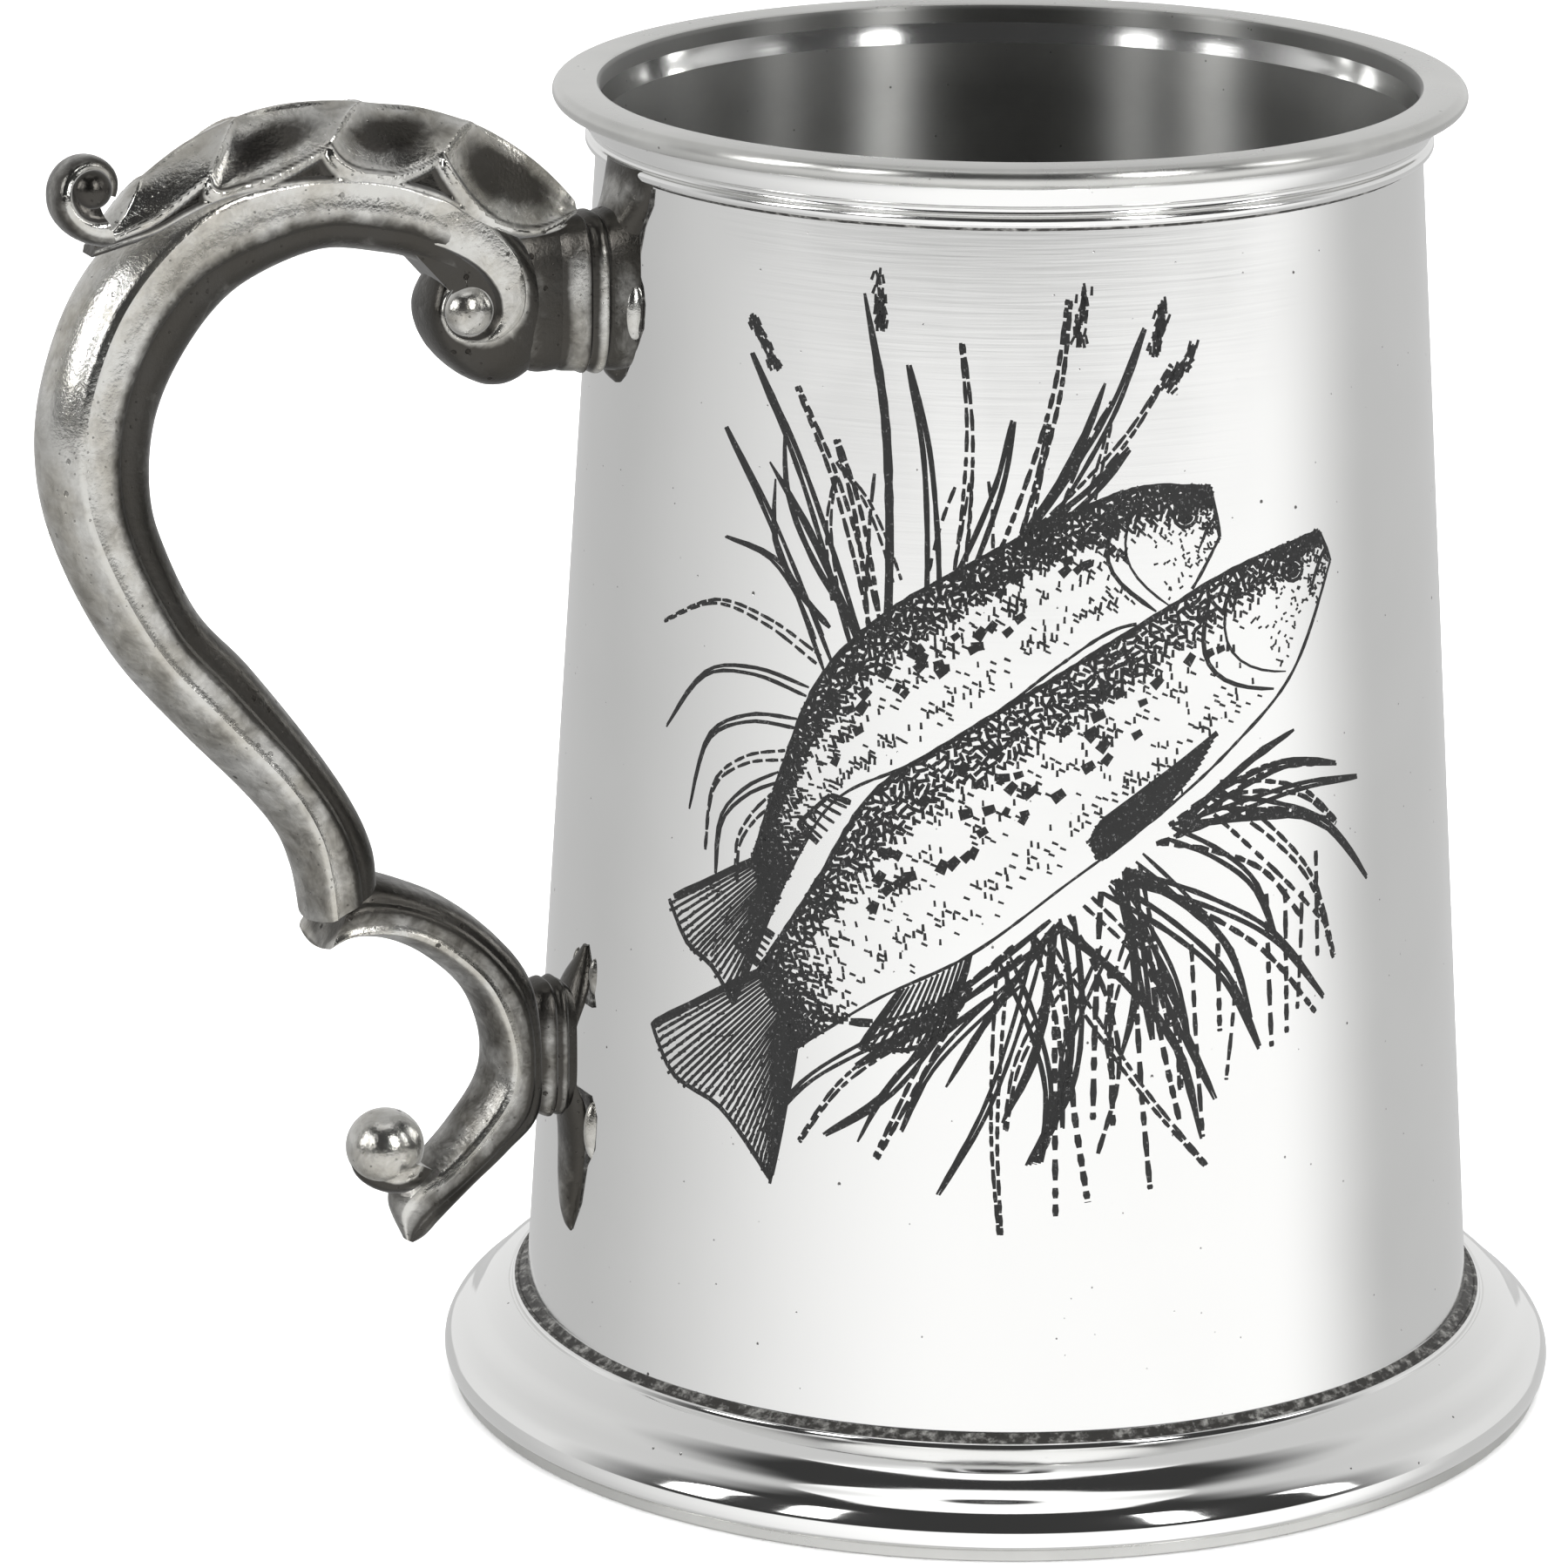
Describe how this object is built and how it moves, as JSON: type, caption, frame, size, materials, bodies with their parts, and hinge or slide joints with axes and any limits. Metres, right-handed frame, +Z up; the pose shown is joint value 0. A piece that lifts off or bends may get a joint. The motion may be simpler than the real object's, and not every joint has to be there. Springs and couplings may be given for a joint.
{
  "type": "tankard",
  "caption": "Tapered pewter drinking tankard on a spread foot, with a moulded lip and a double scroll handle topped by a curled thumb leaf.",
  "frame": {"origin": "on the drum's axis, in the plane that the foot stands on", "axes": "+Z up along the drum's axis; the handle reaches along -X; +Y completes the right-handed set"},
  "size_m": [0.1466, 0.105, 0.1272],
  "materials": {
    "drum_pewter": "polished pewter, bright, with fine scratches and pits",
    "foot_pewter": "mirror-polished pewter",
    "lip_pewter": "satin pewter with turning marks",
    "floor_pewter": "dull turned pewter",
    "cast_pewter": "satin cast pewter, pitted, with dark patina in its recesses",
    "old_solder": "dark oxidised solder"
  },
  "bodies": {
    "root": {"body_drum": "drum_pewter", "floor_disc": "floor_pewter", "floor_solder": "floor_pewter", "foot_skirt": "foot_pewter", "foot_band": "lip_pewter", "foot_solder": "old_solder", "rim_lip": "lip_pewter", "neck_band": "drum_pewter", "neck_solder": "old_solder", "handle_strap": "cast_pewter", "thumb_leaf": "cast_pewter", "leaf_curl": "cast_pewter", "upper_volute": "cast_pewter", "upper_collar": "cast_pewter", "upper_plate": "cast_pewter", "upper_solder": "old_solder", "lower_scroll": "cast_pewter", "scroll_ball": "cast_pewter", "lower_collar": "cast_pewter", "lower_plate": "cast_pewter", "lower_solder": "old_solder"}
  },
  "joints": []
}
